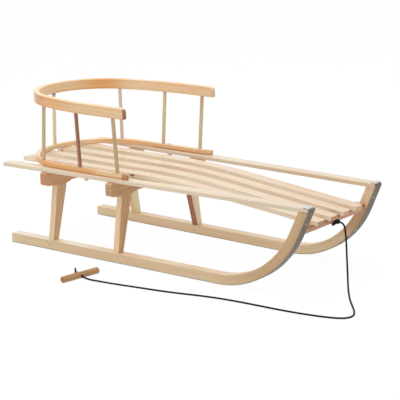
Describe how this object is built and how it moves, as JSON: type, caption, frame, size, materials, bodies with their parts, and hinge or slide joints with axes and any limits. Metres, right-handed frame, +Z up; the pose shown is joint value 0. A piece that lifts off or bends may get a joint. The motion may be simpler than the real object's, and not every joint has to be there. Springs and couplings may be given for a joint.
{
  "type": "wooden sled with backrest",
  "caption": "Wooden sled on bent, steel-shod runners with splayed legs, a slatted seat, a bolted spindle backrest and a pull rope with a dowel handle.",
  "frame": {"origin": "on the floor under the middle of the sled's length and width", "axes": "+X forward towards the horns, +Y to the sled's left, +Z up"},
  "size_m": [1.0425, 0.5519, 0.3853],
  "materials": {
    "beech": "clear varnished pale beech",
    "hoop_wood": "clear varnished warm beech",
    "handle_wood": "varnished wood",
    "steel_strip": "brushed",
    "fastener_steel": "zinc plated",
    "rope": "braided black cord"
  },
  "bodies": {
    "root": {"runner_left": "beech", "runner_right": "beech", "runner_strip_left": "steel_strip", "runner_strip_right": "steel_strip", "side_rail_left": "beech", "side_rail_right": "beech", "seat_slat_1": "beech", "seat_slat_2": "beech", "seat_slat_3": "beech", "seat_slat_4": "beech", "cross_beam_rear": "beech", "cross_beam_front": "beech", "leg_rear_left": "beech", "leg_rear_right": "beech", "leg_front_left": "beech", "leg_front_right": "beech", "front_crossbar": "beech", "backrest_lower_hoop": "hoop_wood", "backrest_upper_hoop": "hoop_wood", "backrest_spindle_1": "hoop_wood", "backrest_spindle_2": "hoop_wood", "backrest_spindle_3": "hoop_wood", "backrest_spindle_4": "hoop_wood", "backrest_spindle_5": "hoop_wood", "backrest_spindle_6": "hoop_wood", "backrest_spindle_7": "hoop_wood", "backrest_bolt_left": "fastener_steel", "backrest_bolt_right": "fastener_steel", "backrest_nut_left": "fastener_steel", "backrest_nut_right": "fastener_steel", "pull_handle": "handle_wood", "pull_rope": "rope", "rope_knot_bar": "rope", "rope_knot_handle": "rope"}
  },
  "joints": []
}
